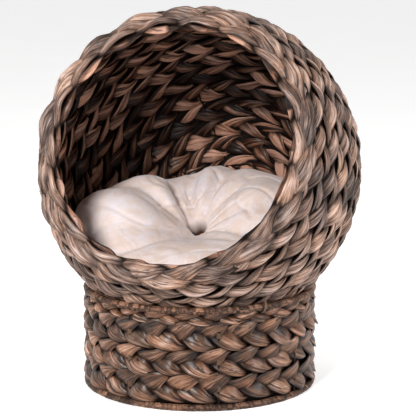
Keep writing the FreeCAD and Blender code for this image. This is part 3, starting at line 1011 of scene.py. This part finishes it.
def plushMaterial():
    material, maker, shader = newMaterial("creamPlush")
    place = maker.node("ShaderNodeTexCoord").outputs["Object"]
    pit = attribute(maker, "tuftShade")
    pile = noiseOn(maker, place, 900.0, 2.0, 0.7)
    nap = noiseOn(maker, place, 55.0, 4.0, 0.6)
    brushed = noiseOn(maker, place, 13.0, 2.0)
    # painted sheen: the ridged strokes below mix in bluish-white streaks, and the palest, bluish-white end of the
    # random cream ramp is painted sheen too
    sheenStrokes = maker.value(maker.node("ShaderNodeTexNoise", {}, {
        "Vector": place, "Scale": 26.0, "Detail": 3.0, "Roughness": 0.5, "Distortion": 1.6}).outputs["Fac"])
    sheenRidges = 1.0 - (sheenStrokes - 0.5).absolute() * 14.0
    shade = ((nap - 0.5) * 0.9 + (brushed - 0.5) * 1.1 + (pile - 0.5) * 0.5 + 0.5).clamped()
    colours = maker.node("ShaderNodeValToRGB", {"stops": [
        (0.0, rgb(206, 184, 172)), (0.45, rgb(224, 204, 194)), (0.75, rgb(230, 216, 212)),
        (1.0, rgb(230, 226, 236))]}, {"Fac": shade})
    sheenStreaked = blendColours(maker, sheenRidges.clamped() * 0.4, colours.outputs["Color"], rgb(232, 230, 242))
    # the tuft's hole is painted dark brown: partly the brown seen down the hole, partly painted shade
    tinted = blendColours(maker, (pit * 1.8).clamped(), sheenStreaked, rgb(70, 42, 27))
    maker.tree.links.new(tinted, shader.inputs["Base Color"])
    rough = 0.86 - nap * 0.12
    maker.tree.links.new(rough.socket, shader.inputs["Roughness"])
    shader.inputs["Sheen Weight"].default_value = 0.35
    shader.inputs["Sheen Roughness"].default_value = 0.35
    shader.inputs["Specular IOR Level"].default_value = 0.2
    bump = maker.node("ShaderNodeBump", {}, {
        "Strength": 0.35, "Distance": 0.0010, "Height": pile * 0.5 + nap * 0.6})
    maker.tree.links.new(bump.outputs[0], shader.inputs["Normal"])
    return material


def addCushion():
    cushion = bpy.data.objects.new("plushCushion", cushionMesh())
    scene.collection.objects.link(cushion)
    remesh = cushion.modifiers.new("even", "REMESH")
    remesh.mode = "VOXEL"
    remesh.voxel_size = cushionLook["voxel"]
    applyModifiers(cushion)
    inflate(cushion)
    smoother = cushion.modifiers.new("ease", "SMOOTH")
    smoother.iterations = 3
    finer = cushion.modifiers.new("finer", "SUBSURF")
    finer.levels = finer.render_levels = 1
    applyModifiers(cushion)
    gatherFabric(cushion)
    cushion.data.shade_smooth()
    cushion.data.materials.clear()
    cushion.data.materials.append(plushMaterial())
    placeInBall(cushion.data)
    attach(cushion, "cushion")
    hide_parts("cushion_cover", "cushion_filling")


tuftStitch = {
    "strands": 7,
    "reach": 0.0052,
    "thread": 0.0009,
    "depth": -0.104,
    "hump": 0.0016,
    "stagger": 0.0003,  # how far each strand lies over the last
}


def addTuftThread():
    # a stitch of brown thread down in the hole: short strands that cross
    look = tuftStitch
    curve = bpy.data.curves.new("tuftThread", "CURVE")
    curve.dimensions = "3D"
    curve.bevel_depth = look["thread"]
    curve.bevel_resolution = 2
    random.seed(11)
    for number in range(look["strands"]):
        turn = math.tau * number / look["strands"] + random.uniform(-0.25, 0.25)
        strand = curve.splines.new("POLY")
        strand.points.add(6)
        for step, point in enumerate(strand.points):
            along = step / 3.0 - 1.0
            point.co = (cushionLook["tuft"][0] + along * look["reach"] * math.cos(turn),
                        -cushionLook["tuft"][1] + along * look["reach"] * math.sin(turn),
                        look["depth"] + look["hump"] * (1.0 - along ** 2) + look["stagger"] * number, 1.0)
    piece = bpy.data.objects.new("tuftThread", curve)
    scene.collection.objects.link(piece)
    mesh = bpy.data.meshes.new_from_object(piece.evaluated_get(bpy.context.evaluated_depsgraph_get()))
    bpy.data.objects.remove(piece)
    piece = bpy.data.objects.new("tuftStitch", mesh)
    scene.collection.objects.link(piece)
    piece.data.materials.clear()
    piece.data.materials.append(darkTwine)
    placeInBall(piece.data)
    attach(piece, "cushion")
    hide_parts("cushion_tuft_stitch")


addCushion()
addTuftThread()
print("cushion filled")


view = {  # where the camera stands and the way it looks
    "place": (0.6564, -2.0998, 0.6357),
    "look": (-0.2888, 0.9411, -0.1761),
    "lens": 140.4,
}
lights = {  # place, target, width and power
    "key": ((-0.35, -2.85, 1.75), (0.0, 0.0, 0.3), 0.8, 100.0),
    "leftSide": ((-2.6, -1.3, 0.9), (0.0, 0.0, 0.3), 1.2, 26.0),
    "side": ((2.7, -0.7, 1.2), (0.0, 0.0, 0.25), 1.6, 56.0),
}
lightColours = {"key": (1.0, 0.98, 0.97), "leftSide": (1.0, 0.99, 0.98), "side": (1.0, 0.99, 0.99)}
room = {
    "floorSize": 12.0,
    "floorGlow": 0.34,
    "back": 1.6,  # how fast the light grows towards the back
    "middle": 0.62,
    "dimmest": 0.26,
    "brightest": 1.05,
}


def addCamera():
    data = bpy.data.cameras.new("camera")
    data.lens = view["lens"]
    data.sensor_width = 36.0
    camera = bpy.data.objects.new("camera", data)
    camera.location = view["place"]
    camera.rotation_euler = Vector(view["look"]).to_track_quat("-Z", "Y").to_euler()
    scene.collection.objects.link(camera)
    scene.camera = camera


def addLight(name, place, target, size, power, colour):
    data = bpy.data.lights.new(name, "AREA")
    data.shape = "DISK"
    data.size = size
    data.energy = power
    data.color = colour
    light = bpy.data.objects.new(name, data)
    light.location = place
    light.rotation_euler = (Vector(target) - Vector(place)).to_track_quat("-Z", "Y").to_euler()
    scene.collection.objects.link(light)


def addFloor():
    mesh = bpy.data.meshes.new("floor")
    shape = bmesh.new()
    bmesh.ops.create_grid(shape, x_segments=1, y_segments=1, size=room["floorSize"])
    shape.to_mesh(mesh)
    shape.free()
    material, maker, shader = newMaterial("paleFloor")
    place = maker.node("ShaderNodeTexCoord").outputs["Object"]
    grain = noiseOn(maker, place, 3.0)
    colour = blendColours(maker, grain, (0.86, 0.86, 0.86, 1.0), (0.9, 0.9, 0.9, 1.0))
    maker.tree.links.new(colour, shader.inputs["Base Color"])
    maker.tree.links.new(colour, shader.inputs["Emission Color"])
    shader.inputs["Emission Strength"].default_value = room["floorGlow"]
    shader.inputs["Roughness"].default_value = 0.9
    shader.inputs["Specular IOR Level"].default_value = 0.0
    mesh.materials.append(material)
    floor = bpy.data.objects.new("floor", mesh)
    scene.collection.objects.link(floor)


def addWorld():
    # a white room, dimmer on the side that the mouth faces
    world = bpy.data.worlds.new("studio")
    world.use_nodes = True
    maker = TreeMaker(world.node_tree)
    back = maker.split(maker.node("ShaderNodeTexCoord").outputs["Generated"])[1]
    strength = back * room["back"] + room["middle"]
    strength = strength.maths("MINIMUM", room["brightest"]).maths("MAXIMUM", room["dimmest"])
    white = maker.node("ShaderNodeBackground", {}, {"Color": (1.0, 1.0, 1.0, 1.0), "Strength": strength})
    maker.node("ShaderNodeOutputWorld", {}, {"Surface": white.outputs[0]})
    scene.world = world


addCamera()
for name, (place, target, size, power) in lights.items():
    addLight(name, place, target, size, power, lightColours[name])
addFloor()
addWorld()
print("stage set")
